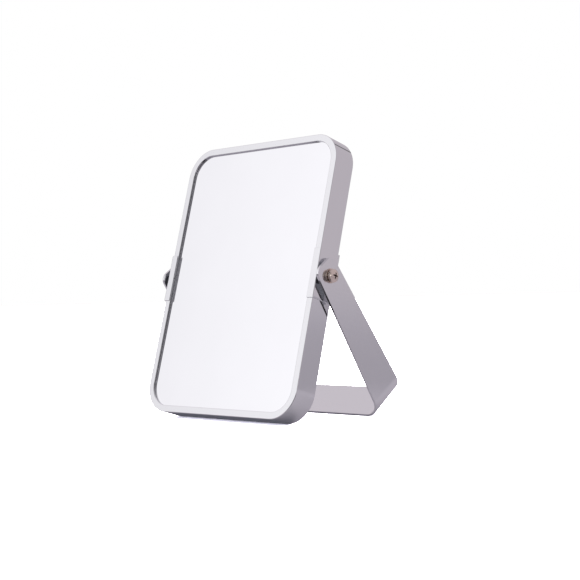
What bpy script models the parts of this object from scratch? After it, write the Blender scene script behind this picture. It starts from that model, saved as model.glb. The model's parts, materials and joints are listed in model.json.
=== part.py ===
"""Double-sided countertop mirror: a framed head that turns between the arms of a bent strip stand.

The head leans back on its bottom rear edge and the stand reaches back and down to the table,
so the two prop each other up like an easel. Left is -X, the front faces -Y.
"""

import math

import bmesh
import bpy
from mathutils import Vector

MM = 0.001

# Driving dimensions, in millimetres and degrees.
HEAD_WIDTH = 134.0
HEAD_HEIGHT = 180.0
HEAD_DEPTH = 16.4
HEAD_CORNER_RADIUS = 19.0
HEAD_TILT = 16.0

SHEET = 1.25
LIP_WIDTH = 4.4
EDGE_RADIUS = 0.45
FRAME_SPLIT = 0.4

GLASS_THICKNESS = 2.0
GLASS_INSET = 3.3
GLASS_GAP = 0.3
DISH_SAG = 2.4
FOAM_THICKNESS = 0.8
PAD_SIZE = 12.0
PAD_INSET = 15.0
PAD_THICKNESS = 1.1
NOTCH_HEIGHT = 8.0
NOTCH_CLEARANCE = 2.0

SLEEVE_SHEET = 0.5
SLEEVE_LENGTH = 31.0
SLEEVE_BEND = 0.1

STAND_SWING = 34.7
STAND_SHEET = 1.5
ARM_OUTER = 71.0
ARM_WIDTH_TOP = 18.8
ARM_WIDTH_BASE = 27.4
ARM_END = 9.5
ARM_END_RADIUS = 5.0
BEND_RADIUS = 12.0

THREAD_RADIUS = 2.0
HOLE_RADIUS = 2.25
SCREW_HEAD_RADIUS = 4.0
SCREW_HEAD_HEIGHT = 2.7
SCREW_HEAD_SIDE = 1.3
SCREW_LENGTH = 10.0
SCREW_TIP_CHAMFER = 0.4
CROSS_REACH = 2.2
CROSS_WIDTH = 0.9
CROSS_DEPTH = 1.8
CROSS_TAPER = 0.45
CROSS_RISE = 1.0
CROSS_FLARE = 1.3
WASHER_RADIUS = 4.5
WASHER_THICKNESS = 0.4
LOCK_WASHER_RADIUS = 3.7
LOCK_WASHER_THICKNESS = 0.5
LOCK_WASHER_SLIT = 20.0
FRICTION_WASHER_RADIUS = 4.5
PLATE_WIDTH = 8.0
PLATE_LENGTH = 28.0
PLATE_THICKNESS = 1.5

GAP = 0.25
DRILL_OVERRUN = 5.0
SHARP_ANGLE = 35.0
CORNER_STEPS = 8
EDGE_STEPS = 3
ROUND_STEPS = 24
DISH_RINGS = 6
DOME_STEPS = 4

# Worked out from the driving dimensions.
TILT = math.radians(HEAD_TILT)
SWING = math.radians(STAND_SWING)
HALF_WIDTH = HEAD_WIDTH / 2
HALF_HEIGHT = HEAD_HEIGHT / 2
HALF_DEPTH = HEAD_DEPTH / 2
ARM_INNER = ARM_OUTER - STAND_SHEET
SLEEVE_OUTER = HALF_WIDTH + GAP + SLEEVE_SHEET
FRONT_GLASS_FACE = -HALF_DEPTH + SHEET + GLASS_GAP
REAR_GLASS_FACE = -FRONT_GLASS_FACE
CORE_FRONT = FRONT_GLASS_FACE + GLASS_THICKNESS + FOAM_THICKNESS + 2 * GAP
CORE_REAR = REAR_GLASS_FACE - GLASS_THICKNESS - DISH_SAG - GAP
WASHER_SEAT = ARM_OUTER + GAP
LOCK_WASHER_SEAT = WASHER_SEAT + WASHER_THICKNESS + GAP
HEAD_SEAT = LOCK_WASHER_SEAT + LOCK_WASHER_THICKNESS + GAP

# The pivot's height puts the head's rounded bottom rear edge on the table, and the arm's length
# then puts the stand's front lower edge on the table too.
PIVOT_HEIGHT = ((HALF_HEIGHT - EDGE_RADIUS) * math.cos(TILT)
                + (HALF_DEPTH - EDGE_RADIUS) * math.sin(TILT) + EDGE_RADIUS)
ARM_LENGTH = (PIVOT_HEIGHT - ARM_WIDTH_BASE / 2 * math.sin(SWING)) / math.cos(SWING)
HEAD_REACH = ((HALF_HEIGHT - EDGE_RADIUS) * math.sin(TILT)
              + (HALF_DEPTH - EDGE_RADIUS) * math.cos(TILT) + EDGE_RADIUS)
STAND_REACH = ARM_LENGTH * math.sin(SWING) + ARM_WIDTH_BASE / 2 * math.cos(SWING)
PIVOT_BACK = (HEAD_REACH - STAND_REACH) / 2


def clear_scene():
    for obj in list(bpy.data.objects):
        bpy.data.objects.remove(obj, do_unlink=True)


def make_material(name, color, roughness, metallic):
    material = bpy.data.materials.new(name)
    material.use_nodes = True
    shader = material.node_tree.nodes["Principled BSDF"]
    shader.inputs["Base Color"].default_value = (*color, 1.0)
    shader.inputs["Roughness"].default_value = roughness
    shader.inputs["Metallic"].default_value = metallic
    material.diffuse_color = (*color, 1.0)
    return material


def make_frame_empty(name, angle):
    """An empty on the hinge axis, turned about X."""
    empty = bpy.data.objects.new(name, None)
    empty.location = Vector((0.0, PIVOT_BACK, PIVOT_HEIGHT)) * MM
    empty.rotation_euler = (angle, 0.0, 0.0)
    bpy.context.scene.collection.objects.link(empty)
    return empty


def finish_mesh(name, bm, material, parent):
    """Turn a bmesh in millimetres into a named object that rides on its parent empty."""
    bmesh.ops.recalc_face_normals(bm, faces=bm.faces)
    bmesh.ops.scale(bm, vec=(MM, MM, MM), verts=bm.verts)
    mesh = bpy.data.meshes.new(name)
    bm.to_mesh(mesh)
    bm.free()
    mesh.shade_smooth()
    mesh.set_sharp_from_angle(angle=math.radians(SHARP_ANGLE))
    if material:
        mesh.materials.append(material)
    obj = bpy.data.objects.new(name, mesh)
    obj.parent = parent
    bpy.context.scene.collection.objects.link(obj)
    return obj


def bridge_rings(bm, rings, closed):
    """Skin a list of equal vertex rings, either end to end or into a closed loop."""
    count = len(rings[0])
    last = len(rings) if closed else len(rings) - 1
    for i in range(last):
        near = rings[i]
        far = rings[(i + 1) % len(rings)]
        for j in range(count):
            k = (j + 1) % count
            bm.faces.new((near[j], near[k], far[k], far[j]))
    if not closed:
        bm.faces.new(rings[0])
        bm.faces.new(rings[-1])


def arc(center, radius, start, end, steps):
    """Points on a circular arc, angles in degrees."""
    points = []
    for i in range(steps + 1):
        angle = math.radians(start + (end - start) * i / steps)
        points.append((center[0] + radius * math.cos(angle), center[1] + radius * math.sin(angle)))
    return points


def rounded_rectangle(half_width, half_height, radius):
    """Corner arcs of a rounded rectangle, counter-clockwise in X and Z."""
    x = half_width - radius
    z = half_height - radius
    points = arc((x, z), radius, 0, 90, CORNER_STEPS)
    points += arc((-x, z), radius, 90, 180, CORNER_STEPS)
    points += arc((-x, -z), radius, 180, 270, CORNER_STEPS)
    points += arc((x, -z), radius, 270, 360, CORNER_STEPS)
    return points


def plate(outline, y_front, y_rear):
    """A flat sheet with an outline in X and Z."""
    bm = bmesh.new()
    rings = [[bm.verts.new((x, y, z)) for x, z in outline] for y in (y_front, y_rear)]
    bridge_rings(bm, rings, closed=False)
    return bm


def box(low, high):
    bm = bmesh.new()
    corners = [(low[0], low[2]), (high[0], low[2]), (high[0], high[2]), (low[0], high[2])]
    rings = [[bm.verts.new((x, y, z)) for x, z in corners] for y in (low[1], high[1])]
    bridge_rings(bm, rings, closed=False)
    return bm


def turned(profile, closed):
    """Turn (radius, x) points about the X axis; an open profile starts and ends on the axis."""
    bm = bmesh.new()
    rings = []
    for radius, x in profile:
        if radius == 0:
            rings.append([bm.verts.new((x, 0.0, 0.0))])
        else:
            circle = arc((0.0, 0.0), radius, 0, 360 - 360 / ROUND_STEPS, ROUND_STEPS - 1)
            rings.append([bm.verts.new((x, y, z)) for y, z in circle])
    inner = rings if closed else rings[1:-1]
    last = len(inner) if closed else len(inner) - 1
    for i in range(last):
        near = inner[i]
        far = inner[(i + 1) % len(inner)]
        for j in range(ROUND_STEPS):
            k = (j + 1) % ROUND_STEPS
            bm.faces.new((near[j], near[k], far[k], far[j]))
    if not closed:
        for pole, ring in ((rings[0][0], rings[1]), (rings[-1][0], rings[-2])):
            for j in range(ROUND_STEPS):
                bm.faces.new((pole, ring[j], ring[(j + 1) % ROUND_STEPS]))
    return bm


def washer(inner_radius, outer_radius, x_low, x_high):
    profile = [(inner_radius, x_low), (outer_radius, x_low), (outer_radius, x_high), (inner_radius, x_high)]
    return turned(profile, closed=True)


def mirror_x(bm):
    """Flip a right-hand piece into its left-hand twin."""
    for vert in bm.verts:
        vert.co.x = -vert.co.x
    return bm


def cut(obj, cutter):
    modifier = obj.modifiers.new("cut_" + cutter.name, "BOOLEAN")
    modifier.operation = "DIFFERENCE"
    modifier.solver = "EXACT"
    modifier.object = cutter


def make_cutter(name, bm, parent):
    cutter = finish_mesh(name, bm, None, parent)
    cutter.hide_render = True
    cutter.display_type = "WIRE"
    return cutter


def pivot_cutter(name, parent):
    """A rod on the hinge axis that drills every piece the screws pass through."""
    reach = ARM_OUTER + DRILL_OVERRUN
    profile = [(0, -reach), (HOLE_RADIUS, -reach), (HOLE_RADIUS, reach), (0, reach)]
    return make_cutter(name, turned(profile, closed=False), parent)


def frame_section():
    """Channel section of the frame: (inset from the outer face, depth), front lip first."""
    front = arc((EDGE_RADIUS, -HALF_DEPTH + EDGE_RADIUS), EDGE_RADIUS, 180, 270, EDGE_STEPS)
    rear = arc((EDGE_RADIUS, HALF_DEPTH - EDGE_RADIUS), EDGE_RADIUS, 90, 180, EDGE_STEPS)
    lip_inside = HALF_DEPTH - SHEET
    section = front
    section += [(LIP_WIDTH, -HALF_DEPTH), (LIP_WIDTH, -lip_inside), (SHEET, -lip_inside)]
    section += [(SHEET, lip_inside), (LIP_WIDTH, lip_inside), (LIP_WIDTH, HALF_DEPTH)]
    section += rear
    return section


def frame_half(name, side, material, parent):
    """A U of channel from one sleeve round to the other; side is +1 for the upper half."""
    x = HALF_WIDTH - HEAD_CORNER_RADIUS
    z = HALF_HEIGHT - HEAD_CORNER_RADIUS
    stations = [((HALF_WIDTH, FRAME_SPLIT / 2), (1.0, 0.0))]
    for center_x, start in ((x, 0), (-x, 90)):
        for point in arc((0.0, 0.0), 1.0, start, start + 90, CORNER_STEPS):
            outer = (center_x + HEAD_CORNER_RADIUS * point[0], z + HEAD_CORNER_RADIUS * point[1])
            stations.append((outer, point))
    stations.append(((-HALF_WIDTH, FRAME_SPLIT / 2), (-1.0, 0.0)))
    bm = bmesh.new()
    rings = []
    for (px, pz), (nx, nz) in stations:
        ring = [bm.verts.new((px - nx * inset, depth, side * (pz - nz * inset)))
                for inset, depth in frame_section()]
        rings.append(ring)
    bridge_rings(bm, rings, closed=False)
    return finish_mesh(name, bm, material, parent)


def sleeve_section():
    """C of thin sheet folded round the frame's side and both lips: (x, y) for the right side."""
    outer_radius = SLEEVE_BEND + SLEEVE_SHEET
    inner_side = HALF_WIDTH + GAP
    inner_front = HALF_DEPTH + GAP
    x = inner_side - SLEEVE_BEND
    y = inner_front - SLEEVE_BEND
    flange_end = HALF_WIDTH - LIP_WIDTH
    section = [(flange_end, -inner_front - SLEEVE_SHEET)]
    section += arc((x, -y), outer_radius, 270, 360, EDGE_STEPS)
    section += arc((x, y), outer_radius, 0, 90, EDGE_STEPS)
    section += [(flange_end, inner_front + SLEEVE_SHEET), (flange_end, inner_front)]
    section += arc((x, y), SLEEVE_BEND, 90, 0, EDGE_STEPS)
    section += arc((x, -y), SLEEVE_BEND, 0, -90, EDGE_STEPS)
    section += [(flange_end, -inner_front)]
    return section


def sleeve():
    bm = bmesh.new()
    half = SLEEVE_LENGTH / 2
    rings = [[bm.verts.new((x, y, z)) for x, y in sleeve_section()] for z in (-half, half)]
    bridge_rings(bm, rings, closed=False)
    return bm


def glass_outline():
    half_width = HALF_WIDTH - GLASS_INSET
    half_height = HALF_HEIGHT - GLASS_INSET
    return rounded_rectangle(half_width, half_height, HEAD_CORNER_RADIUS - GLASS_INSET)


def dished_glass():
    """Sheet bent to a shallow bowl: its depth falls with the square of the radius to the corners."""
    outline = glass_outline()
    corner_square = max(x * x + z * z for x, z in outline)
    bm = bmesh.new()
    skins = []
    for face in (REAR_GLASS_FACE, REAR_GLASS_FACE - GLASS_THICKNESS):
        rings = []
        for ring in range(1, DISH_RINGS + 1):
            scale = ring / DISH_RINGS
            verts = []
            for x, z in outline:
                square = (x * x + z * z) * scale * scale
                depth = DISH_SAG * (1 - square / corner_square)
                verts.append(bm.verts.new((x * scale, face - depth, z * scale)))
            rings.append(verts)
        center = bm.verts.new((0.0, face - DISH_SAG, 0.0))
        count = len(outline)
        for j in range(count):
            bm.faces.new((center, rings[0][j], rings[0][(j + 1) % count]))
        for near, far in zip(rings, rings[1:]):
            for j in range(count):
                k = (j + 1) % count
                bm.faces.new((near[j], near[k], far[k], far[j]))
        skins.append(rings[-1])
    front, rear = skins
    for j in range(len(outline)):
        k = (j + 1) % len(outline)
        bm.faces.new((front[j], front[k], rear[k], rear[j]))
    return bm


def corner_pad(x_side, z_side):
    """One of four foam blocks that hold the bowed glass off the core board at its corners."""
    x_low = HALF_WIDTH - PAD_INSET - PAD_SIZE
    z_low = HALF_HEIGHT - PAD_INSET - PAD_SIZE
    y_low = CORE_REAR + GAP
    xs = sorted((x_side * x_low, x_side * (x_low + PAD_SIZE)))
    zs = sorted((z_side * z_low, z_side * (z_low + PAD_SIZE)))
    return box((xs[0], y_low, zs[0]), (xs[1], y_low + PAD_THICKNESS, zs[1]))


def arm_half_width(along):
    """Half the strip's width at a distance below the pivot; it widens steadily to the base."""
    share = min(max(along / ARM_LENGTH, -1.0), 1.0)
    width = ARM_WIDTH_TOP + (ARM_WIDTH_BASE - ARM_WIDTH_TOP) * share
    corner = ARM_END_RADIUS - (along + ARM_END)
    if corner > 0:
        width -= 2 * (ARM_END_RADIUS - math.sqrt(ARM_END_RADIUS ** 2 - corner ** 2))
    return width / 2


def stand_stations():
    """Right half of the strip: (x, distance below the pivot, outward normal), arm end first."""
    stations = []
    for step in range(CORNER_STEPS + 1):
        angle = math.radians(90 * step / CORNER_STEPS)
        along = -ARM_END + ARM_END_RADIUS * (1 - math.cos(angle))
        stations.append((ARM_OUTER, along, (1.0, 0.0)))
    center = (ARM_OUTER - BEND_RADIUS, ARM_LENGTH - BEND_RADIUS)
    for nx, nl in arc((0.0, 0.0), 1.0, 0, 90, CORNER_STEPS):
        stations.append((center[0] + BEND_RADIUS * nx, center[1] + BEND_RADIUS * nl, (nx, nl)))
    return stations


def stand_bracket():
    """One strip bent to a U: two tapered arms with rounded ends and a flat base between them."""
    right = stand_stations()
    left = [(-x, along, (-nx, nl)) for x, along, (nx, nl) in reversed(right)]
    bm = bmesh.new()
    rings = []
    for x, along, (nx, nl) in right + left:
        half = arm_half_width(along)
        x_in = x - nx * STAND_SHEET
        along_in = along - nl * STAND_SHEET
        ring = [(x, -half, -along), (x, half, -along), (x_in, half, -along_in), (x_in, -half, -along_in)]
        rings.append([bm.verts.new(point) for point in ring])
    bridge_rings(bm, rings, closed=False)
    return bm


def screw_profile():
    """Pan-head machine screw on the X axis, from its tip out to the crown of its domed head."""
    tip = HEAD_SEAT - SCREW_LENGTH
    rise = SCREW_HEAD_HEIGHT - SCREW_HEAD_SIDE
    dome_radius = (SCREW_HEAD_RADIUS ** 2 + rise ** 2) / (2 * rise)
    dome_center = HEAD_SEAT + SCREW_HEAD_HEIGHT - dome_radius
    profile = [(0, tip), (THREAD_RADIUS - SCREW_TIP_CHAMFER, tip), (THREAD_RADIUS, tip + SCREW_TIP_CHAMFER)]
    profile += [(THREAD_RADIUS, HEAD_SEAT), (SCREW_HEAD_RADIUS, HEAD_SEAT)]
    for step in range(DOME_STEPS):
        radius = SCREW_HEAD_RADIUS * (1 - step / DOME_STEPS)
        profile.append((radius, dome_center + math.sqrt(dome_radius ** 2 - radius ** 2)))
    profile.append((0, HEAD_SEAT + SCREW_HEAD_HEIGHT))
    return profile


def cross_cutter(name, parent):
    """The driver recess: a plus that narrows as it goes in."""
    crown = HEAD_SEAT + SCREW_HEAD_HEIGHT
    reach = CROSS_REACH
    half = CROSS_WIDTH / 2
    plus = [(reach, half), (half, half), (half, reach), (-half, reach), (-half, half), (-reach, half),
            (-reach, -half), (-half, -half), (-half, -reach), (half, -reach), (half, -half), (reach, -half)]
    bm = bmesh.new()
    rings = []
    for x, scale in ((crown - CROSS_DEPTH, CROSS_TAPER), (crown + CROSS_RISE, CROSS_FLARE)):
        rings.append([bm.verts.new((x, y * scale, z * scale)) for y, z in plus])
    bridge_rings(bm, rings, closed=False)
    if name.startswith("left"):
        mirror_x(bm)
    return make_cutter(name, bm, parent)


def lock_washer():
    """A split spring washer, pressed flat."""
    start = 90 + LOCK_WASHER_SLIT / 2
    end = start + 360 - LOCK_WASHER_SLIT
    inner = arc((0.0, 0.0), HOLE_RADIUS, start, end, ROUND_STEPS)
    outer = arc((0.0, 0.0), LOCK_WASHER_RADIUS, start, end, ROUND_STEPS)
    x_low = LOCK_WASHER_SEAT
    x_high = x_low + LOCK_WASHER_THICKNESS
    bm = bmesh.new()
    rings = []
    for (yi, zi), (yo, zo) in zip(inner, outer):
        ring = [(x_low, yi, zi), (x_low, yo, zo), (x_high, yo, zo), (x_high, yi, zi)]
        rings.append([bm.verts.new(point) for point in ring])
    bridge_rings(bm, rings, closed=False)
    return bm


def splice_plate():
    """Tapped plate inside the channel that ties the two frame halves together."""
    x_high = HALF_WIDTH - SHEET - GAP
    low = (x_high - PLATE_THICKNESS, -PLATE_WIDTH / 2, -PLATE_LENGTH / 2)
    high = (x_high, PLATE_WIDTH / 2, PLATE_LENGTH / 2)
    return box(low, high)


def side_pieces(side, materials, head):
    """Everything at one pivot; side is left or right."""
    friction_low = SLEEVE_OUTER + GAP
    friction_high = ARM_INNER - GAP
    pieces = {
        "sleeve": (sleeve(), "chrome"),
        "splice_plate": (splice_plate(), "steel"),
        "friction_washer": (washer(HOLE_RADIUS, FRICTION_WASHER_RADIUS, friction_low, friction_high), "nylon"),
        "flat_washer": (washer(HOLE_RADIUS, WASHER_RADIUS, WASHER_SEAT, WASHER_SEAT + WASHER_THICKNESS), "nickel"),
        "lock_washer": (lock_washer(), "nickel"),
        "screw": (turned(screw_profile(), closed=False), "nickel"),
    }
    made = {}
    for piece, (bm, material) in pieces.items():
        if side == "left":
            mirror_x(bm)
        made[piece] = finish_mesh(side + "_" + piece, bm, materials[material], head)
    cut(made["screw"], cross_cutter(side + "_cross_cutter", head))
    return made


def build():
    clear_scene()
    materials = {
        "chrome": make_material("polished_chrome", (0.62, 0.61, 0.63), 0.12, 1.0),
        "mirror": make_material("silvered_glass", (0.90, 0.90, 0.92), 0.02, 1.0),
        "steel": make_material("zinc_steel", (0.50, 0.50, 0.50), 0.40, 1.0),
        "nickel": make_material("nickel_plate", (0.63, 0.53, 0.48), 0.25, 1.0),
        "nylon": make_material("black_nylon", (0.03, 0.03, 0.033), 0.45, 0.0),
        "foam": make_material("grey_foam", (0.25, 0.25, 0.26), 0.90, 0.0),
        "board": make_material("moulded_board", (0.30, 0.29, 0.28), 0.70, 0.0),
    }
    head = make_frame_empty("head_axis", -TILT)
    stand = make_frame_empty("stand_axis", SWING)

    head_drill = pivot_cutter("head_drill", head)
    stand_drill = pivot_cutter("stand_drill", stand)

    bracket = finish_mesh("stand_bracket", stand_bracket(), materials["chrome"], stand)
    cut(bracket, stand_drill)

    for name, half in (("upper_frame", 1), ("lower_frame", -1)):
        cut(frame_half(name, half, materials["chrome"], head), head_drill)

    outline = glass_outline()
    front_glass = plate(outline, FRONT_GLASS_FACE, FRONT_GLASS_FACE + GLASS_THICKNESS)
    finish_mesh("front_mirror", front_glass, materials["mirror"], head)
    finish_mesh("rear_magnifying_mirror", dished_glass(), materials["mirror"], head)

    foam_front = FRONT_GLASS_FACE + GLASS_THICKNESS + GAP
    finish_mesh("foam_sheet", plate(outline, foam_front, foam_front + FOAM_THICKNESS), materials["foam"], head)
    core = finish_mesh("core_board", plate(outline, CORE_FRONT, CORE_REAR), materials["board"], head)
    notch_start = HEAD_SEAT - SCREW_LENGTH - NOTCH_CLEARANCE
    notch_low = (notch_start, CORE_FRONT - NOTCH_CLEARANCE, -NOTCH_HEIGHT / 2)
    notch_high = (HALF_WIDTH, CORE_REAR + NOTCH_CLEARANCE, NOTCH_HEIGHT / 2)
    for side in ("left", "right"):
        notch = box(notch_low, notch_high)
        if side == "left":
            mirror_x(notch)
        cut(core, make_cutter(side + "_notch_cutter", notch, head))
    for z_name, z_side in (("upper", 1), ("lower", -1)):
        for x_name, x_side in (("left", -1), ("right", 1)):
            name = z_name + "_" + x_name + "_pad"
            finish_mesh(name, corner_pad(x_side, z_side), materials["foam"], head)

    for side in ("left", "right"):
        made = side_pieces(side, materials, head)
        cut(made["sleeve"], head_drill)
        cut(made["splice_plate"], head_drill)


build()
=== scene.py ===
import json
from math import atan2, cos, radians, sin

import bmesh
import bpy
import numpy as np
from mathutils import Matrix, Vector


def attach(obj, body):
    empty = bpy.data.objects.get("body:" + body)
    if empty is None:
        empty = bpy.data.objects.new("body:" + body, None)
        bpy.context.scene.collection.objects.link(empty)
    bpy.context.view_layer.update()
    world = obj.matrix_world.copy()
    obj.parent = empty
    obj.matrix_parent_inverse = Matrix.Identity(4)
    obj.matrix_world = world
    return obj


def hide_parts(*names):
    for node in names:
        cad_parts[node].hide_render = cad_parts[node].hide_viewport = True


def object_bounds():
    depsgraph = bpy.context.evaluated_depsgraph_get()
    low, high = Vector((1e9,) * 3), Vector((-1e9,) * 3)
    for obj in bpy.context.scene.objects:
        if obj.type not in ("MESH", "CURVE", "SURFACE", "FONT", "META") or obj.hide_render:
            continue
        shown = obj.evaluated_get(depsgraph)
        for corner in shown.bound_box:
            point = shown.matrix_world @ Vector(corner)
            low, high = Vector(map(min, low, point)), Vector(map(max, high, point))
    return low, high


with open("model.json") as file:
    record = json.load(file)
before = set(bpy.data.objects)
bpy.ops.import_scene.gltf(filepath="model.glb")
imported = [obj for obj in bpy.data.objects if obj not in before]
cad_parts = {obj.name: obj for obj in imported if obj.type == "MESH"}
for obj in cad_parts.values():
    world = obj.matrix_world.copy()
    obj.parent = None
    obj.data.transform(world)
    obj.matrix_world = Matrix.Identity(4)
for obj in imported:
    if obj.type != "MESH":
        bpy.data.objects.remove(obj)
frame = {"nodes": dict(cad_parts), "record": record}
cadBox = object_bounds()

mm = 0.001


def jointPlace(name):  # the point that a joint turns about, in metres
    for joint in frame["record"]["behaviour"]["joints"]:
        if joint["name"] == name:
            return Vector(joint["pos_m"])


def mountPlane(name):  # a mount's outward direction, and how far its face lies from the pivot in mm
    for mount in frame["record"]["mounts"]:
        if mount["name"] == name:
            axis = Vector(mount["axis"])
            return axis, (Vector(mount["pos_m"]) - pivot).dot(axis) / mm


pivot = jointPlace("head_turn")
railAxis, halfHeight = mountPlane("bottom_rail")
baseAxis, armLength = mountPlane("base_underside")
tilt = atan2(-railAxis.y, -railAxis.z)  # how far the head leans back
swing = atan2(baseAxis.y, -baseAxis.z)  # how far the stand reaches back


def onHead(points):  # head millimetres (x, depth, up) to metres, leaned back about the pivot
    return turnedAboutX(points, -tilt)


def onStand(points):  # stand millimetres (x, across, up) to metres, swung back about the pivot
    return turnedAboutX(points, swing)


def turnedAboutX(points, angle):  # y' = y cos a - z sin a and z' = y sin a + z cos a, then moved to the pivot
    x, y, z = np.moveaxis(np.asarray(points, float), -1, 0)
    turned = np.stack((x, y * cos(angle) - z * sin(angle), y * sin(angle) + z * cos(angle)), axis=-1)
    return turned * mm + np.array(pivot)


def roundedPath(corners, radii, steps=6, support=0.06, closed=True):
    # Each corner becomes an arc that is tangent to both its sides, and a point just outside each
    # end of the arc keeps the flats flat. Gives the points and the normals on the path's right.
    corners = np.asarray(corners, float)
    radii = np.broadcast_to(np.asarray(radii, float), len(corners))
    before = np.roll(corners, 1, axis=0)
    after = np.roll(corners, -1, axis=0)
    goIn = (corners - before) / np.linalg.norm(corners - before, axis=1, keepdims=True)
    goOut = (after - corners) / np.linalg.norm(after - corners, axis=1, keepdims=True)
    turn = np.arctan2(goIn[:, 0] * goOut[:, 1] - goIn[:, 1] * goOut[:, 0], (goIn * goOut).sum(1))
    side = np.where(turn < 0, -1.0, 1.0)[:, None, None]
    tangent = (radii * np.tan(np.abs(turn) / 2))[:, None]
    start = corners - goIn * tangent
    end = corners + goOut * tangent
    angle = np.arctan2(-goIn[:, 0], goIn[:, 1])[:, None] + turn[:, None] * np.linspace(0, 1, steps + 1)
    normals = np.stack((np.cos(angle), np.sin(angle)), axis=-1)
    reach = side * radii[:, None, None] * normals
    arcs = start[:, None] - reach[:, :1] + reach
    points = np.concatenate(((start - goIn * support)[:, None], arcs, (end + goOut * support)[:, None]), axis=1)
    normals = np.concatenate((normals[:, :1], normals, normals[:, -1:]), axis=1)
    if closed:
        return points.reshape(-1, 2), normals.reshape(-1, 2)
    inner = slice(1, -1)
    points = np.concatenate((corners[:1], points[inner].reshape(-1, 2), corners[-1:]))
    normals = normals[inner].reshape(-1, 2)
    return points, np.concatenate((normals[:1], normals, normals[-1:]))


def surface(name, rings, ends="cap"):
    # rings[i, j] is point j of ring i, and each ring is closed. Quads join ring to ring, and the
    # ends are capped, drawn to a pole, or wrapped round to meet. UVs hold real lengths in metres.
    rings = np.asarray(rings, float)
    count, size = rings.shape[:2]
    across = np.arange(size)
    beside = (across + 1) % size
    index = np.arange(count * size).reshape(count, size)
    first, last = (1, count - 2) if ends == "pole" else (0, count - 1)
    near = np.arange(first, last)
    far = near + 1
    if ends == "wrap":
        near = np.arange(count)
        far = (near + 1) % count
    quads = np.stack((index[near][:, across], index[near][:, beside],
                      index[far][:, beside], index[far][:, across]), axis=-1).reshape(-1, 4)
    along = np.linalg.norm(np.roll(rings, -1, axis=0) - rings, axis=2).mean(axis=1)
    along = np.concatenate(([0.0], np.cumsum(along)))
    widest = rings[np.argmax(np.linalg.norm(rings - rings.mean(axis=1, keepdims=True), axis=2).mean(axis=1))]
    around = np.concatenate(([0.0], np.cumsum(np.linalg.norm(np.roll(widest, -1, axis=0) - widest, axis=1))))
    u0, u1 = along[near][:, None], along[near + 1][:, None]
    v0, v1 = around[across][None], around[across + 1][None]
    quadUv = np.stack([np.stack(np.broadcast_arrays(u, v), axis=-1)
                       for u, v in ((u0, v0), (u0, v1), (u1, v1), (u1, v0))], axis=2).reshape(-1, 4, 2)
    points = rings.reshape(-1, 3)
    faces = quads.tolist()
    cornerUv = [quadUv.reshape(-1, 2)]
    if ends == "cap":
        for ring in (index[0], index[-1][::-1]):
            faces.append(ring[::-1].tolist())
            cornerUv.append(np.stack((points[ring[::-1]][:, 0], points[ring[::-1]][:, 2]), axis=-1))
    if ends == "pole":
        for pole, ring, flip in ((index[0, 0], index[1], True), (index[-1, 0], index[-2], False)):
            fan = np.stack((np.full(size, pole), ring[across], ring[beside]), axis=-1)
            fan = fan[:, ::-1] if flip else fan
            faces += fan.tolist()
            cornerUv.append(points[fan.reshape(-1)][:, [0, 2]])
    mesh = bpy.data.meshes.new(name)
    mesh.from_pydata(points.tolist(), [], faces)
    layer = mesh.uv_layers.new(name="lengths")
    layer.data.foreach_set("uv", np.concatenate(cornerUv).astype(np.float32).ravel())
    if ends == "pole":
        dropLooseVertices(mesh)
    faceOutwards(mesh)
    return finishMesh(name, mesh)


def dropLooseVertices(mesh):  # the rings at the poles leave spare points behind
    bm = bmesh.new()
    bm.from_mesh(mesh)
    bmesh.ops.delete(bm, geom=[v for v in bm.verts if not v.link_faces], context="VERTS")
    bm.to_mesh(mesh)
    bm.free()


def faceOutwards(mesh):  # the signed volume under all faces tells which way they point
    mesh.calc_loop_triangles()
    corners = np.empty(len(mesh.loop_triangles) * 3, np.int32)
    mesh.loop_triangles.foreach_get("vertices", corners)
    points = np.empty(len(mesh.vertices) * 3)
    mesh.vertices.foreach_get("co", points)
    a, b, c = np.moveaxis(points.reshape(-1, 3)[corners.reshape(-1, 3)], 1, 0)
    if (a * np.cross(b, c)).sum() < 0:
        mesh.flip_normals()


def finishMesh(name, mesh):
    mesh.shade_smooth()
    mesh.set_sharp_from_angle(angle=radians(40))
    piece = bpy.data.objects.new(name, mesh)
    bpy.context.scene.collection.objects.link(piece)
    return piece


def cutAway(piece, cutter):  # cuts one closed mesh from another and keeps the result as plain mesh
    modifier = piece.modifiers.new("cut", "BOOLEAN")
    modifier.operation = "DIFFERENCE"
    modifier.solver = "EXACT"
    modifier.object = cutter
    bpy.context.view_layer.update()
    evaluated = piece.evaluated_get(bpy.context.evaluated_depsgraph_get())
    mesh = bpy.data.meshes.new_from_object(evaluated)
    piece.modifiers.clear()
    piece.data = mesh
    mesh.shade_smooth()
    mesh.set_sharp_from_angle(angle=radians(40))
    bpy.data.objects.remove(cutter, do_unlink=True)


def lathe(name, profile, place, side=1, segments=64, ends="pole"):
    # (x, radius) turned about the X axis: y = radius cos a, z = radius sin a
    x, radius = np.asarray(profile, float).T
    angle = np.linspace(0, 2 * np.pi, segments, endpoint=False)
    rings = np.stack((side * np.broadcast_to(x[:, None], (len(x), segments)),
                      radius[:, None] * np.cos(angle), radius[:, None] * np.sin(angle)), axis=-1)
    return surface(name, place(rings), ends)


def keep(piece, body, slot, material, *nodes):  # files a finished piece with its body, hides its CAD nodes and gives it its material; slot is not used
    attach(piece, body)
    if nodes:
        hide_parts(*nodes)
    piece.data.materials.clear()
    piece.data.materials.append(material)
    return piece


def linear(hexColour):  # sRGB hex to linear: c / 12.92 below 0.04045, else ((c + 0.055) / 1.055) ^ 2.4
    value = hexColour.lstrip("#")
    channels = np.array([int(value[i:i + 2], 16) for i in (0, 2, 4)]) / 255
    low = channels / 12.92
    high = ((channels + 0.055) / 1.055) ** 2.4
    return (*np.where(channels <= 0.04045, low, high).tolist(), 1.0)


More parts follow.
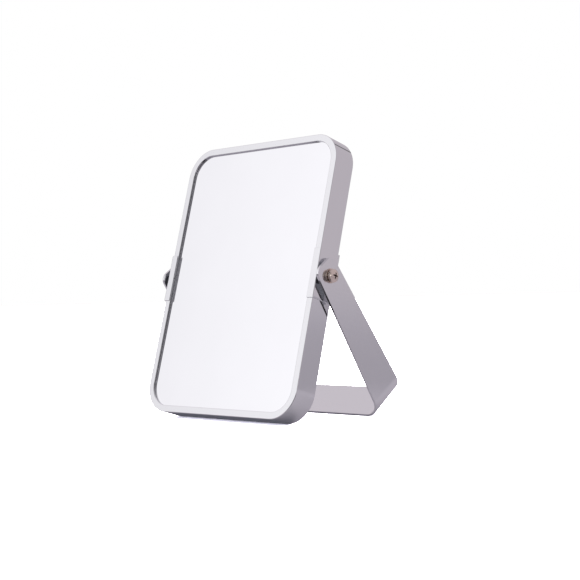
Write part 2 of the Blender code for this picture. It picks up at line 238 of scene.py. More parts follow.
def addNode(tree, kind, settings=None, links=None):
    # settings name a node's own properties or its input sockets; links join an input to (node, output)
    node = tree.nodes.new(kind)
    for key, value in (settings or {}).items():
        if isinstance(key, str) and hasattr(node, key):
            setattr(node, key, value)
        else:
            node.inputs[key].default_value = value
    for key, (source, output) in (links or {}).items():
        tree.links.new(source.outputs[output], node.inputs[key])
    return node


def newMaterial(name, settings):
    material = bpy.data.materials.new(name)
    material.use_nodes = True
    shader = material.node_tree.nodes["Principled BSDF"]
    for key, value in settings.items():
        shader.inputs[key].default_value = value
    return material, material.node_tree, shader


deepGlow = {
    "reflections": 4,     # how many reflections are followed
    "brightness": 0.22,
    "colour": "#D6D6DE",
}


def lastReflection(material, tree, shader):
    # Between two bright faces the light is thrown to and fro more often than is followed. What the
    # last reflection meets is given the slate tone that the rest would add up to.
    shader.inputs["Emission Color"].default_value = linear(deepGlow["colour"])
    material.cycles.emission_sampling = "NONE"
    path = addNode(tree, "ShaderNodeLightPath")
    last = addNode(tree, "ShaderNodeMath", {"operation": "GREATER_THAN", 1: deepGlow["reflections"] - 0.5},
                   {0: (path, "Glossy Depth")})
    glow = addNode(tree, "ShaderNodeMath", {"operation": "MULTIPLY", 1: deepGlow["brightness"]},
                   {0: (last, "Value")})
    tree.links.new(glow.outputs["Value"], shader.inputs["Emission Strength"])


chromeLook = {
    "colour": "#E5E5E7",      # bright plate, a trace cold
    "roughness": {"frameChrome": (0.035, 0.085), "standChrome": (0.1, 0.16)},
    "drawLineWidth": 0.5,     # mm across the strip, wider than real so that it can be seen
    "drawLineLength": 40.0,   # mm along the strip
    "drawLineDepth": 0.00035,  # mm
    "markRange": (0.12, 0.4),  # the share of marks that goes from the least to the most roughness
    "rippleSize": 22.0,       # mm between the soft waves that rolling leaves
    "rippleDepth": 0.0012,    # mm
    "smudgeSize": 9.0,        # mm
}


def rolledChrome(name):
    # Decorative chromium on roll-formed steel strip: a clear cool reflection, drawn out a little
    # along the strip by faint forming lines, with wide soft ripples and a film of handling marks.
    look = chromeLook
    roughLow, roughHigh = look["roughness"][name]
    fewest, most = look["markRange"]
    material, tree, shader = newMaterial(name, {"Base Color": linear(look["colour"]), "Metallic": 1.0})
    lastReflection(material, tree, shader)
    lengths = addNode(tree, "ShaderNodeUVMap", {"uv_map": "lengths"})
    along = 1 / (look["drawLineLength"] * mm)
    across = 1 / (look["drawLineWidth"] * mm)
    stretched = addNode(tree, "ShaderNodeMapping", {"Scale": (along, across, 1.0)}, {"Vector": (lengths, "UV")})
    lines = addNode(tree, "ShaderNodeTexNoise", {"Scale": 1.0, "Detail": 3.0, "Roughness": 0.6},
                    {"Vector": (stretched, "Vector")})
    place = addNode(tree, "ShaderNodeTexCoord")
    ripple = addNode(tree, "ShaderNodeTexNoise", {"Scale": 1 / (look["rippleSize"] * mm), "Detail": 1.0},
                     {"Vector": (place, "Object")})
    smudge = addNode(tree, "ShaderNodeTexNoise", {"Scale": 1 / (look["smudgeSize"] * mm), "Detail": 5.0},
                     {"Vector": (place, "Object")})
    mixed = addNode(tree, "ShaderNodeMath", {"operation": "MULTIPLY"}, {0: (smudge, "Fac"), 1: (lines, "Fac")})
    rough = addNode(tree, "ShaderNodeMapRange",
                    {"From Min": fewest, "From Max": most, "To Min": roughLow, "To Max": roughHigh},
                    {"Value": (mixed, "Value")})
    tree.links.new(rough.outputs["Result"], shader.inputs["Roughness"])
    waves = addNode(tree, "ShaderNodeBump", {"Strength": 1.0, "Distance": look["rippleDepth"] * mm},
                    {"Height": (ripple, "Fac")})
    bump = addNode(tree, "ShaderNodeBump", {"Strength": 1.0, "Distance": look["drawLineDepth"] * mm},
                   {"Height": (lines, "Fac"), "Normal": (waves, "Normal")})
    tree.links.new(bump.outputs["Normal"], shader.inputs["Normal"])
    return material


mirrorLook = {
    "light": "#F5F5F7",
    "dark": "#F1F1F3",
    "roughness": 0.012,
    "hazeSize": 45.0,      # mm
    "waveSize": 70.0,      # mm between the swells that floating leaves in the glass
    "waveDepth": 0.0006,   # mm
}


def silveredGlass(name):
    # Float glass silvered on its back: an almost perfect reflection with a faint cold cast, and a
    # swell too slow to see except where it bends a straight line.
    look = mirrorLook
    material, tree, shader = newMaterial(name, {"Metallic": 1.0, "Roughness": look["roughness"]})
    lastReflection(material, tree, shader)
    place = addNode(tree, "ShaderNodeTexCoord")
    haze = addNode(tree, "ShaderNodeTexNoise", {"Scale": 1 / (look["hazeSize"] * mm), "Detail": 2.0},
                   {"Vector": (place, "Object")})
    tint = addNode(tree, "ShaderNodeMix",
                   {"data_type": "RGBA", 6: linear(look["dark"]), 7: linear(look["light"])},
                   {0: (haze, "Fac")})
    tree.links.new(tint.outputs[2], shader.inputs["Base Color"])
    swell = addNode(tree, "ShaderNodeTexNoise", {"Scale": 1 / (look["waveSize"] * mm), "Detail": 0.0},
                    {"Vector": (place, "Object")})
    bump = addNode(tree, "ShaderNodeBump", {"Strength": 1.0, "Distance": look["waveDepth"] * mm},
                   {"Height": (swell, "Fac")})
    tree.links.new(bump.outputs["Normal"], shader.inputs["Normal"])
    return material


nickelLook = {
    "light": "#ECDDD3",
    "dark": "#DDCCC1",
    "roughness": (0.2, 0.28),
    "grainSize": 0.5,      # mm
    "grainDepth": 0.0006,  # mm
}


# painted shade: dark brown nickel for the faces down in the driver's cross, where shade falls
recessShadeLook = {
    "light": "#7A5F55",
    "dark": "#5A453D",
    "roughness": (0.45, 0.6),
    "grainSize": 0.3,
    "grainDepth": 0.002,
}


def nickelPlate(name, look):
    # Barrel-plated nickel on a cold-headed screw: warm, satin, a little pitted. Down in the
    # driver's cross a second look paints shade as dark brown nickel, so the cross reads dark.
    material, tree, shader = newMaterial(name, {"Metallic": 1.0})
    place = addNode(tree, "ShaderNodeTexCoord")
    grain = addNode(tree, "ShaderNodeTexNoise", {"Scale": 1 / (look["grainSize"] * mm), "Detail": 4.0},
                    {"Vector": (place, "Object")})
    tint = addNode(tree, "ShaderNodeMix",
                   {"data_type": "RGBA", 6: linear(look["dark"]), 7: linear(look["light"])},
                   {0: (grain, "Fac")})
    tree.links.new(tint.outputs[2], shader.inputs["Base Color"])
    rough = addNode(tree, "ShaderNodeMapRange",
                    {"To Min": look["roughness"][0], "To Max": look["roughness"][1]}, {"Value": (grain, "Fac")})
    tree.links.new(rough.outputs["Result"], shader.inputs["Roughness"])
    bump = addNode(tree, "ShaderNodeBump", {"Strength": 1.0, "Distance": look["grainDepth"] * mm},
                   {"Height": (grain, "Fac")})
    tree.links.new(bump.outputs["Normal"], shader.inputs["Normal"])
    return material


plainLooks = {
    # name: (dark hex, light hex, roughness, grain in mm, bump depth in mm, metallic, texture)
    "darkNylon": ("#515156", "#5E5E64", 0.42, 0.8, 0.006, 0.0, "ShaderNodeTexNoise"),
    "zincPlate": ("#8E9294", "#B4B8BA", 0.38, 1.5, 0.004, 1.0, "ShaderNodeTexNoise"),
    "cellularFoam": ("#4A4A4D", "#6C6C70", 0.9, 0.6, 0.12, 0.0, "ShaderNodeTexVoronoi"),
    "pressedBoard": ("#6B5B49", "#8A7760", 0.8, 1.2, 0.03, 0.0, "ShaderNodeTexNoise"),
}


def grainyFinish(name):
    # Two tones of one stuff mixed by its own grain, which also raises a small bump: smooth
    # nylon, spangled zinc, open foam cells and pressed wood fibre.
    dark, light, roughness, grain, depth, metallic, texture = plainLooks[name]
    material, tree, shader = newMaterial(name, {"Metallic": metallic, "Roughness": roughness})
    place = addNode(tree, "ShaderNodeTexCoord")
    pattern = addNode(tree, texture, {"Scale": 1 / (grain * mm)}, {"Vector": (place, "Object")})
    tint = addNode(tree, "ShaderNodeMix", {"data_type": "RGBA", 6: linear(dark), 7: linear(light)},
                   {0: (pattern, 0)})
    tree.links.new(tint.outputs[2], shader.inputs["Base Color"])
    bump = addNode(tree, "ShaderNodeBump", {"Strength": 1.0, "Distance": depth * mm}, {"Height": (pattern, 0)})
    tree.links.new(bump.outputs["Normal"], shader.inputs["Normal"])
    return material


frameChrome = rolledChrome("frameChrome")
standChrome = rolledChrome("standChrome")
mirrorSilver = silveredGlass("silveredGlass")
screwNickel = nickelPlate("nickelPlate", nickelLook)
recessShadeNickel = nickelPlate("paintedShadeRecess", recessShadeLook)
grainy = {name: grainyFinish(name) for name in plainLooks}
print("materials made")


channel = {
    "width": 134.0,
    "depth": 16.4,
    "cornerRadius": 19.0,
    "sheet": 1.25,
    "lip": 4.4,
    "edgeRadius": 0.42,
    "lipEdge": 0.3,
    "foldRadius": 0.2,
    "split": 0.2,          # each half stops this far from the middle
    "cornerSteps": 32,
}
halfWidth = channel["width"] / 2
halfDepth = channel["depth"] / 2


def channelSection():  # closed section as (inset from the outer face, depth), with its outward normals
    sheet, lip = channel["sheet"], channel["lip"]
    inside = halfDepth - sheet
    corners = [(0, -halfDepth), (lip, -halfDepth), (lip, -inside), (sheet, -inside),
               (sheet, inside), (lip, inside), (lip, halfDepth), (0, halfDepth)]
    outer, inner, fold = channel["edgeRadius"], channel["lipEdge"], channel["foldRadius"]
    radii = [outer, inner, fold, fold, fold, fold, inner, outer]
    return roundedPath(corners, radii, steps=8)


def frameHalf(name, up):
    # The channel section carried along a U: position = path point - path normal * inset
    top = up * halfHeight
    start = up * channel["split"]
    corners = [(up * halfWidth, start), (up * halfWidth, top), (-up * halfWidth, top), (-up * halfWidth, start)]
    path, outward = roundedPath(corners, channel["cornerRadius"], channel["cornerSteps"], 0.5, closed=False)
    section, _ = channelSection()
    inset, depth = section.T
    x = path[:, :1] - outward[:, :1] * inset
    z = path[:, 1:] - outward[:, 1:] * inset
    rings = np.stack((x, np.broadcast_to(depth, x.shape), z), axis=-1)
    piece = surface(name, onHead(rings))
    return keep(piece, "head", "frame_chrome", frameChrome, name.replace("Frame", "_frame"))


for name, up in (("upperFrame", 1), ("lowerFrame", -1)):
    frameHalf(name, up)
print("frame halves made")


sleeveClip = {
    "gap": 0.25,
    "sheet": 0.5,
    "length": 31.0,
    "bend": 0.1,          # inside radius of its two folds
    "cutEdge": 0.12,
    "hole": 2.25,
    "endRound": 0.15,
}


def sleeve(name, side):
    # A thin C folded round the frame, drawn up and down, its two ends eased by a quarter round
    gap, sheet, bend, cutEdge = (sleeveClip[key] for key in ("gap", "sheet", "bend", "cutEdge"))
    inner = halfWidth + gap
    outer = inner + sheet
    back = halfDepth + gap
    front = back + sheet
    end = halfWidth - channel["lip"]
    corners = [(end, -front), (outer, -front), (outer, front), (end, front),
               (end, back), (inner, back), (inner, -back), (end, -back)]
    radii = [cutEdge, bend + sheet, bend + sheet, cutEdge, cutEdge, bend, bend, cutEdge]
    section, outward = roundedPath(corners, radii, steps=8)
    ease = sleeveClip["endRound"]
    angle = np.linspace(0, np.pi / 2, 5)
    half = sleeveClip["length"] / 2
    rise = np.concatenate((-half + ease * (1 - np.cos(angle)), [-half + 1, half - 1],
                           half - ease * (1 - np.cos(angle[::-1]))))
    shrink = np.concatenate((ease * (1 - np.sin(angle)), [0, 0], ease * (1 - np.sin(angle[::-1]))))
    ring = section[None] - outward[None] * shrink[:, None, None]
    z = np.broadcast_to(rise[:, None], ring.shape[:2])
    piece = surface(name, onHead(np.stack((side * ring[..., 0], ring[..., 1], z), axis=-1)))
    radius = sleeveClip["hole"]
    hole = np.array([(inner - 3, 0), (inner - 3, radius), (outer + 1, radius), (outer + 1, 0)])
    cutAway(piece, lathe("drill", hole, onHead, side))
    return keep(piece, "head", "frame_chrome", frameChrome, name.replace("Sleeve", "_sleeve"))


sides = {"left": -1, "right": 1}
for sideName, side in sides.items():
    sleeve(sideName + "Sleeve", side)
print("sleeves made")


glass = {
    "inset": 3.3,
    "thickness": 2.0,
    "face": halfDepth - 1.55,  # depth of each mirror face from the middle of the head
    "sag": 2.4,                # how deep the rear bowl is
    "arris": 0.25,
    "rings": 40,
    "step": 3.0,               # between points along the straight sides, so that the bowl is smooth
}


def evenlyStepped(outline, outward, step):
    # Adds points along a closed outline: places and normals are interpolated by the length walked,
    # at the old points and at even stops that are not too near to them.
    places = np.vstack((outline, outline[:1]))
    normals = np.vstack((outward, outward[:1]))
    walked = np.concatenate(([0.0], np.cumsum(np.linalg.norm(np.diff(places, axis=0), axis=1))))
    even = np.arange(0, walked[-1], step)
    apart = np.abs(even[:, None] - walked[None]).min(axis=1)
    stops = np.sort(np.concatenate((walked[:-1], even[apart > step / 4])))
    return [np.stack([np.interp(stops, walked, column) for column in table.T], axis=-1)
            for table in (places, normals)]


def mirrorSheet(name, node, facing, sag):
    # A rounded rectangle scaled from the middle outwards on the face, over the edge and back in on
    # the reverse. Both faces sink by sag * (1 - r^2 / R^2), where R is the corner's radius.
    inset, arris = glass["inset"], glass["arris"]
    w = halfWidth - inset
    h = halfHeight - inset
    radius = channel["cornerRadius"] - inset
    outline, outward = roundedPath([(-w, -h), (w, -h), (w, h), (-w, h)], radius, 24, 0.5)
    outline, outward = evenlyStepped(outline, outward, glass["step"])
    reach = (outline ** 2).sum(1).max()
    scale = np.linspace(0, 1, glass["rings"])
    face = outline[None] * scale[:, None, None] - outward[None] * arris * scale[:, None, None]
    rim = outline[None]
    flat = np.concatenate((face, rim, rim, face[::-1]))
    drop = np.concatenate((np.zeros(len(scale)), [arris, glass["thickness"] - arris],
                           np.full(len(scale), glass["thickness"])))
    bowl = sag * (1 - (flat ** 2).sum(-1) / reach)
    depth = facing * (glass["face"] - drop[:, None] - bowl)
    piece = surface(name, onHead(np.stack((flat[..., 0], depth, flat[..., 1]), axis=-1)), "pole")
    return keep(piece, "head", "mirror_glass", mirrorSilver, node)


mirrorSheet("frontMirror", "front_mirror", -1, 0.0)
mirrorSheet("rearMagnifyingMirror", "rear_magnifying_mirror", 1, glass["sag"])
print("mirrors made")


pivotStack = {
    "armOuter": 71.0,
    "strip": 1.5,
    "gap": 0.25,
    "hole": 2.25,
    "frictionRadius": 4.5,
    "washerRadius": 4.5,
    "washerThickness": 0.4,
    "lockRadius": 3.7,
    "lockThickness": 0.5,
    "lockSlit": 20.0,      # degrees
    "headRadius": 4.0,
    "headHeight": 2.7,
    "headSide": 1.3,       # straight part of the head's side, below its dome
    "screwLength": 10.0,
    "threadRadius": 2.0,
    "threadPitch": 0.7,
    "threadDepth": 0.38,
    "crossReach": 2.2,
    "crossWidth": 0.95,
    "crossDepth": 1.8,
}
sleeveFace = halfWidth + sleeveClip["gap"] + sleeveClip["sheet"]
washerSeat = pivotStack["armOuter"] + pivotStack["gap"]
lockSeat = washerSeat + pivotStack["washerThickness"] + pivotStack["gap"]
headSeat = lockSeat + pivotStack["lockThickness"] + pivotStack["gap"]


def ring(name, node, side, inner, outer, low, high, slot, material, edge=0.12):
    # A flat washer: a rounded rectangle of (x, radius) turned about the pivot
    section, _ = roundedPath([(low, inner), (high, inner), (high, outer), (low, outer)], edge, 4)
    return keep(lathe(name, section, onHead, side, 72, "wrap"), "head", slot, material, node)


def lockWasher(name, node, side):
    # A square wire bent to one turn that stops short, its two ends sprung slightly apart
    slit = radians(pivotStack["lockSlit"]) / 2
    angle = np.linspace(slit, 2 * np.pi - slit, 90) + radians(75)
    lift = np.linspace(-0.1, 0.1, 90)
    low, high = lockSeat + 0.12, lockSeat + pivotStack["lockThickness"] - 0.12
    inner, outer = pivotStack["hole"], pivotStack["lockRadius"]
    section, _ = roundedPath([(low, inner), (high, inner), (high, outer), (low, outer)], 0.1, 4)
    x = side * (section[None, :, 0] + lift[:, None])
    y = section[None, :, 1] * np.cos(angle)[:, None]
    z = section[None, :, 1] * np.sin(angle)[:, None]
    piece = surface(name, onHead(np.stack((x, y, z), axis=-1)))
    return keep(piece, "head", "nickel", screwNickel, node)


def screw(name, node, side):
    # Turned profile of a domed pan head on a threaded shank. The dome is an arc through its rim and
    # its crown, of radius (w^2 + h^2) / 2h. On the shank the radius is
    # r - depth * |2 frac(x / pitch + a / turn) - 1|, which winds a V thread round it.
    tip = headSeat - pivotStack["screwLength"]
    crown = headSeat + pivotStack["headHeight"]
    r = pivotStack["threadRadius"]
    wide = pivotStack["headRadius"]
    rise = pivotStack["headHeight"] - pivotStack["headSide"]
    dome = (wide ** 2 + rise ** 2) / (2 * rise)
    domeRadius = np.linspace(wide - 0.25, 0, 20)
    domePart = np.stack((crown - dome + np.sqrt(dome ** 2 - domeRadius ** 2), domeRadius), axis=-1)
    rim = headSeat + pivotStack["headSide"]
    sidePart, _ = roundedPath([(headSeat, r), (headSeat, wide), (rim, wide), tuple(domePart[0])],
                              [0, 0.15, 0.12, 0], 4, closed=False)
    headPart = np.concatenate((sidePart[:-1], domePart))
    shank = np.arange(tip + 0.3, headSeat - 0.3, pivotStack["threadPitch"] / 8)
    x = np.concatenate(([tip, tip], shank, headPart[:, 0]))
    radius = np.concatenate(([0, r - 0.5], np.full(len(shank), r), headPart[:, 1]))
    threaded = np.zeros(len(x))
    fadeIn = np.clip((shank - shank[0]) / 0.4, 0, 1)
    fadeOut = np.clip((shank[-1] - shank) / 0.8, 0, 1)
    threaded[2:2 + len(shank)] = fadeIn * fadeOut
    angle = np.linspace(0, 2 * np.pi, 64, endpoint=False)
    wind = (x[:, None] / pivotStack["threadPitch"] + angle[None] / (2 * np.pi)) % 1
    cut = threaded[:, None] * pivotStack["threadDepth"] * np.abs(2 * wind - 1)
    r2 = radius[:, None] - cut
    x = side * np.broadcast_to(x[:, None], r2.shape)
    rings = np.stack((x, r2 * np.cos(angle), r2 * np.sin(angle)), axis=-1)
    piece = surface(name, onHead(rings), "pole")
    half = pivotStack["crossWidth"] / 2
    reach = pivotStack["crossReach"]
    plus = [(reach, half), (half, half), (half, reach), (-half, reach), (-half, half), (-reach, half),
            (-reach, -half), (-half, -half), (-half, -reach), (half, -reach), (half, -half), (reach, -half)]
    cross, _ = roundedPath(plus, 0.12, 3, 0.03)
    levels = np.array([[crown - pivotStack["crossDepth"], 0.42], [crown + 0.6, 1.18]])
    flare = cross[None] * levels[:, 1][:, None, None]
    depth = np.broadcast_to(side * levels[:, :1], flare.shape[:2])
    cutAway(piece, surface("driverCross", onHead(np.stack((depth, flare[..., 0], flare[..., 1]), axis=-1))))
    keep(piece, "head", "nickel", screwNickel, node)
    # the recessed faces below take the second material, dark nickel that paints the shade in the cross
    piece.data.materials.append(recessShadeNickel)
    # Faces of the cross lie below the dome: x < crown - R + sqrt(R^2 - r^2)
    mesh = piece.data
    centres = np.empty(len(mesh.polygons) * 3)
    mesh.polygons.foreach_get("center", centres)
    centres = (centres.reshape(-1, 3) - np.array(pivot)) / mm
    deepness, off = side * centres[:, 0], np.hypot(centres[:, 1], centres[:, 2])
    domeAt = crown - dome + np.sqrt(dome ** 2 - np.minimum(off, wide) ** 2)
    floorAt = crown - pivotStack["crossDepth"] - 0.1
    recessed = (off < reach * 1.2) & (deepness < domeAt - 0.04) & (deepness > floorAt)
    mesh.polygons.foreach_set("material_index", recessed.astype(np.int32))
    mesh.update()
    return piece


frictionSeat = sleeveFace + pivotStack["gap"]
armInner = pivotStack["armOuter"] - pivotStack["strip"]
for sideName, side in sides.items():
    ring(sideName + "FrictionWasher", sideName + "_friction_washer", side,
         pivotStack["hole"], pivotStack["frictionRadius"],
         frictionSeat, armInner - pivotStack["gap"], "nylon", grainy["darkNylon"], 0.2)
    ring(sideName + "FlatWasher", sideName + "_flat_washer", side,
         pivotStack["hole"], pivotStack["washerRadius"],
         washerSeat, washerSeat + pivotStack["washerThickness"], "nickel", screwNickel)
    lockWasher(sideName + "LockWasher", sideName + "_lock_washer", side)
    screw(sideName + "Screw", sideName + "_screw", side)
print("pivots made")


strip = {
    "widthTop": 18.8,
    "widthBase": 27.4,
    "end": 9.5,            # how far the arms run on past the pivot
    "endRadius": 5.0,
    "bendRadius": 12.0,
    "edge": 0.15,
    "bendSteps": 24,
}


def standStrip():
    # A rounded strip section carried along a U. Its width grows evenly with the distance below the
    # pivot, and at the arm ends it shrinks by a circle, which rounds their corners.
    s = strip
    end, edge, thick = s["end"], s["edge"], pivotStack["strip"]
    arm = pivotStack["armOuter"]
    corners = [(-arm, end), (-arm, -armLength), (arm, -armLength), (arm, end)]
    path, outward = roundedPath(corners, s["bendRadius"], s["bendSteps"], 0.4, closed=False)
    tipAngle = np.linspace(0, np.pi / 2, 6)
    roundAngle = np.linspace(0.36, np.pi / 2, 20)
    fromEnd = np.concatenate((edge * (1 - np.cos(tipAngle)), s["endRadius"] * (1 - np.cos(roundAngle)),
                              [s["endRadius"] + 0.4]))
    shrink = np.concatenate((edge * (1 - np.sin(tipAngle)), np.zeros(len(roundAngle) + 1)))
    tips = np.stack((np.full(len(fromEnd), -pivotStack["armOuter"]), end - fromEnd), axis=-1)
    path = np.concatenate((tips, path[1:-1], tips[::-1] * (-1, 1)))
    normal = np.concatenate((np.tile((-1.0, 0.0), (len(tips), 1)), outward[1:-1],
                             np.tile((1.0, 0.0), (len(tips), 1))))
    shrink = np.concatenate((shrink, np.zeros(len(outward) - 2), shrink[::-1]))
    below = -path[:, 1]
    half = (s["widthTop"] + (s["widthBase"] - s["widthTop"]) * below / armLength) / 2
    short = np.clip(s["endRadius"] - (end - path[:, 1]), 0, s["endRadius"])
    half -= s["endRadius"] - np.sqrt(s["endRadius"] ** 2 - short ** 2)
    nominal = s["widthBase"] / 2
    section, sideways = roundedPath([(-nominal, 0), (-nominal, thick), (nominal, thick), (nominal, 0)], edge, 6)
    across = section[None, :, 0] + np.sign(section[None, :, 0]) * (half - nominal)[:, None]
    across = across - sideways[None, :, 0] * shrink[:, None]
    inset = section[None, :, 1] - sideways[None, :, 1] * shrink[:, None]
    x = path[:, :1] - normal[:, :1] * inset
    z = path[:, 1:] - normal[:, 1:] * inset
    piece = surface("standStrip", onStand(np.stack((x, across, z), axis=-1)))
    reach = pivotStack["armOuter"] + 3
    drill = np.array([(-reach, 0), (-reach, pivotStack["hole"]), (reach, pivotStack["hole"]), (reach, 0)])
    cutAway(piece, lathe("drill", drill, onStand))
    return keep(piece, "stand", "stand_chrome", standChrome, "stand_bracket")


standStrip()
print("stand made")


hiddenFinishes = {
    "foam_sheet": "cellularFoam",
    "core_board": "pressedBoard",
    "upper_left_pad": "cellularFoam",
    "upper_right_pad": "cellularFoam",
    "lower_left_pad": "cellularFoam",
    "lower_right_pad": "cellularFoam",
    "left_splice_plate": "zincPlate",
    "right_splice_plate": "zincPlate",
}
for node, finish in hiddenFinishes.items():
    for materialSlot in frame["nodes"][node].material_slots:
        materialSlot.material = grainy[finish]
print("inner pieces finished")


studio = {
    "floorSize": 40.0,         # m
    "floorSeen": 5.0,          # the sweep is lit until it is plain white
    "floorTone": (0.255, 0.315),  # what metal picks up from it close by, and far off
    "floorReach": (0.5, 4.5),  # m, where it starts and stops growing paler
    "pool": (1.4, 0.12, 0.35),  # painted pool of light, brighter round the object: how much, full within and gone beyond, m
    "shade": (0.085, 0.097),   # painted shadow, m towards the front right, where the lit sweep ends
    "shadeSide": (0.08, 0.1),  # m towards the back right, where it is lit again
    "shadeTone": 0.05,
    "shadeFar": (0.13, 0.2, 0.6),  # m, where it starts and stops growing paler again, and how pale
    "floorTint": "#FFF8FF",
    "glow": (0.085, "#E4E7FF"),  # cold light that fills the shadows under the object
    "room": (0.17, "#F4F2FA"),
    "cards": [
        # (azimuth, elevation), brightness, colour, full within and gone beyond this many degrees
        ((75, 12), 0.57, "#FFF6FF", 70, 95),     # pale wall behind and to the right
        ((170, 55), 0.70, "#FFF7FF", 25, 50),    # ceiling panel, back left
        ((255, 22), 1.10, "#FDFCFF", 25, 64),    # big soft window, front left
        ((340, 6), 1.7, "#FFFFFF", 6, 9),        # small lamp beside the camera
    ],
    "slit": (96, 0.12, 1.2, 3.0),                # azimuth, brightness, half widths in degrees
    "sun": 2.3,
    "sunSpread": 130.0,        # degrees, as soft as an overcast sky
}


def direction(azimuth, elevation):  # unit vector; azimuth turns from +X towards +Y
    return Vector((cos(radians(azimuth)) * cos(radians(elevation)),
                   sin(radians(azimuth)) * cos(radians(elevation)), sin(radians(elevation))))


def studioFloor():
    # Plain white to the eye. Metal sees it as pale grey with a painted pool of light round the object and a
    # little lighter far off, with a painted shadow as a dark patch just in front and a faint cold glow.
    size = studio["floorSize"] / 2
    low = cadBox[0][2]
    mesh = bpy.data.meshes.new("studioFloor")
    corners = [(-size, -size, low), (size, -size, low), (size, size, low), (-size, size, low)]
    mesh.from_pydata(corners, [], [(0, 1, 2, 3)])
    floor = bpy.data.objects.new("studioFloor", mesh)
    bpy.context.scene.collection.objects.link(floor)
    material = bpy.data.materials.new("whiteSweep")
    material.use_nodes = True
    tree = material.node_tree
    tree.nodes.clear()
    place = addNode(tree, "ShaderNodeTexCoord")
    distance = addNode(tree, "ShaderNodeVectorMath", {"operation": "LENGTH"}, {0: (place, "Object")})
    near, far = studio["floorReach"]
    pale = addNode(tree, "ShaderNodeMapRange",
                   {"From Min": near, "From Max": far,
                    "To Min": studio["floorTone"][0], "To Max": studio["floorTone"][1]},
                   {"Value": (distance, "Value")})
    bright, near, far = studio["pool"]
    # painted pool of light: brighter within a ring round the object
    pool = addNode(tree, "ShaderNodeMapRange",
                   {"From Min": near, "From Max": far, "To Min": bright, "To Max": 1.0},
                   {"Value": (distance, "Value")})
    forwards = addNode(tree, "ShaderNodeVectorMath", {"operation": "DOT_PRODUCT", 1: direction(-45, 0)},
                       {0: (place, "Object")})
    sideways = addNode(tree, "ShaderNodeVectorMath", {"operation": "DOT_PRODUCT", 1: direction(45, 0)},
                       {0: (place, "Object")})
    # painted shadow: dark beyond a line in front of the object, lit again to the back right and far off
    front = addNode(tree, "ShaderNodeMapRange",
                    {"From Min": studio["shade"][0], "From Max": studio["shade"][1],
                     "To Min": 1.0, "To Max": studio["shadeTone"]}, {"Value": (forwards, "Value")})
    beside = addNode(tree, "ShaderNodeMapRange",
                     {"From Min": studio["shadeSide"][0], "From Max": studio["shadeSide"][1]},
                     {"Value": (sideways, "Value")})
    start, stop, most = studio["shadeFar"]
    farther = addNode(tree, "ShaderNodeMapRange", {"From Min": start, "From Max": stop, "To Max": most},
                      {"Value": (forwards, "Value")})
    nearby = addNode(tree, "ShaderNodeMath", {"operation": "MAXIMUM"},
                     {0: (front, "Result"), 1: (beside, "Result")})
    shade = addNode(tree, "ShaderNodeMath", {"operation": "MAXIMUM"},
                    {0: (nearby, "Value"), 1: (farther, "Result")})
    lit = addNode(tree, "ShaderNodeMath", {"operation": "MULTIPLY"}, {0: (pale, "Result"), 1: (pool, "Result")})
    mirrored = addNode(tree, "ShaderNodeMath", {"operation": "MULTIPLY"},
                       {0: (lit, "Value"), 1: (shade, "Value")})
    path = addNode(tree, "ShaderNodeLightPath")
    tint = Vector(linear(studio["floorTint"])[:3])
    inMetal = addNode(tree, "ShaderNodeVectorMath", {"operation": "SCALE", 0: tint},
                      {"Scale": (mirrored, "Value")})
    colour = addNode(tree, "ShaderNodeMix",
                     {"data_type": "RGBA", 7: brightColour(studio["floorSeen"], "#FFFFFF")},
                     {0: (path, "Is Camera Ray"), 6: (inMetal, "Vector")})
    paint = addNode(tree, "ShaderNodeBsdfDiffuse", {}, {"Color": (colour, 2)})
    strength, hexColour = studio["glow"]
    fading = addNode(tree, "ShaderNodeMath", {"operation": "MULTIPLY", 1: strength}, {0: (shade, "Value")})
    glow = addNode(tree, "ShaderNodeEmission", {"Color": linear(hexColour)}, {"Strength": (fading, "Value")})
    both = addNode(tree, "ShaderNodeAddShader", {}, {0: (paint, "BSDF"), 1: (glow, "Emission")})
    addNode(tree, "ShaderNodeOutputMaterial", {}, {"Surface": (both, "Shader")})
    mesh.materials.append(material)


def brightColour(brightness, hexColour):
    return (*(brightness * channel for channel in linear(hexColour)[:3]), 1.0)


def studioWorld():
    # Plain white behind the object. What metal sees is a dim room with soft cards in it: each is a
    # disc of sky about its own direction whose edge fades out, laid over the ones before it.
    world = bpy.data.worlds.new("studioWorld")
    bpy.context.scene.world = world
    world.use_nodes = True
    tree = world.node_tree
    tree.nodes.clear()
    place = addNode(tree, "ShaderNodeTexCoord")
    wall, *others = studio["cards"]
    seen = addNode(tree, "ShaderNodeRGB")
    seen.outputs[0].default_value = brightColour(*studio["room"])
    seen = laidOver(tree, place, (seen, "Color"), wall)
    seen = slitOver(tree, place, seen)
    for card in others:
        seen = laidOver(tree, place, seen, card)
    room = addNode(tree, "ShaderNodeBackground", {}, {"Color": seen})
    plain = addNode(tree, "ShaderNodeBackground", {"Color": (1.0, 1.0, 1.0, 1.0)})
    path = addNode(tree, "ShaderNodeLightPath")
    mix = addNode(tree, "ShaderNodeMixShader", {}, {0: (path, "Is Camera Ray"), 1: (room, "Background"),
                                                    2: (plain, "Background")})
    addNode(tree, "ShaderNodeOutputWorld", {}, {"Surface": (mix, "Shader")})


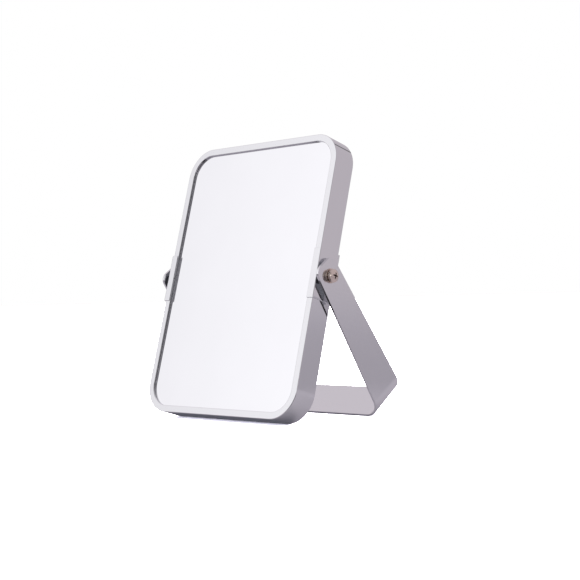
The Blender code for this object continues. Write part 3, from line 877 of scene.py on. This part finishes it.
def laidOver(tree, place, seen, card):
    toward, brightness, hexColour, full, gone = card
    dot = addNode(tree, "ShaderNodeVectorMath", {"operation": "DOT_PRODUCT", 1: direction(*toward)},
                  {0: (place, "Generated")})
    share = addNode(tree, "ShaderNodeMapRange",
                    {"interpolation_type": "SMOOTHSTEP", "From Min": cos(radians(gone)),
                     "From Max": cos(radians(full))}, {"Value": (dot, "Value")})
    return addNode(tree, "ShaderNodeMix", {"data_type": "RGBA", 7: brightColour(brightness, hexColour)},
                   {0: (share, "Result"), 6: seen}), 2


def slitOver(tree, place, seen):  # the dark joint between two panels of the wall, seen edge on
    azimuth, brightness, half, gone = studio["slit"]
    dot = addNode(tree, "ShaderNodeVectorMath", {"operation": "DOT_PRODUCT", 1: direction(azimuth + 90, 0)},
                  {0: (place, "Generated")})
    off = addNode(tree, "ShaderNodeMath", {"operation": "ABSOLUTE"}, {0: (dot, "Value")})
    share = addNode(tree, "ShaderNodeMapRange",
                    {"From Min": sin(radians(half)), "From Max": sin(radians(gone)),
                     "To Min": 1.0, "To Max": 0.0},
                    {"Value": (off, "Value")})
    return addNode(tree, "ShaderNodeMix", {"data_type": "RGBA", 7: brightColour(brightness, "#FFFFFF")},
                   {0: (share, "Result"), 6: seen}), 2


def overcastSun():  # lights the floor evenly and is not itself seen in the metal
    light = bpy.data.lights.new("overcastSun", "SUN")
    light.energy = studio["sun"]
    light.angle = radians(studio["sunSpread"])
    lamp = bpy.data.objects.new("overcastSun", light)
    lamp.location = (0.0, 0.0, 1.0)
    lamp.visible_glossy = False
    bpy.context.scene.collection.objects.link(lamp)


studioFloor()
studioWorld()
overcastSun()
bpy.context.scene.view_settings.view_transform = "Standard"
print("studio made")


camera = {
    "fromPivot": (0.5659, -0.5515, -0.0115),  # m
    "yaw": 43.8,
    "lookUp": 0.28,
    "roll": -1.38,
    "lens": 76.66,
    "sensor": 36.0,
}


def studioCamera():
    data = bpy.data.cameras.new("studioCamera")
    data.lens = camera["lens"]
    data.sensor_width = camera["sensor"]
    data.clip_start = 0.01
    shooter = bpy.data.objects.new("studioCamera", data)
    turn = (Matrix.Rotation(radians(camera["yaw"]), 4, "Z")
            @ Matrix.Rotation(radians(90 + camera["lookUp"]), 4, "X")
            @ Matrix.Rotation(radians(camera["roll"]), 4, "Z"))
    shooter.matrix_world = Matrix.Translation(pivot + Vector(camera["fromPivot"])) @ turn
    bpy.context.scene.collection.objects.link(shooter)
    bpy.context.scene.camera = shooter


studioCamera()
print("camera placed")
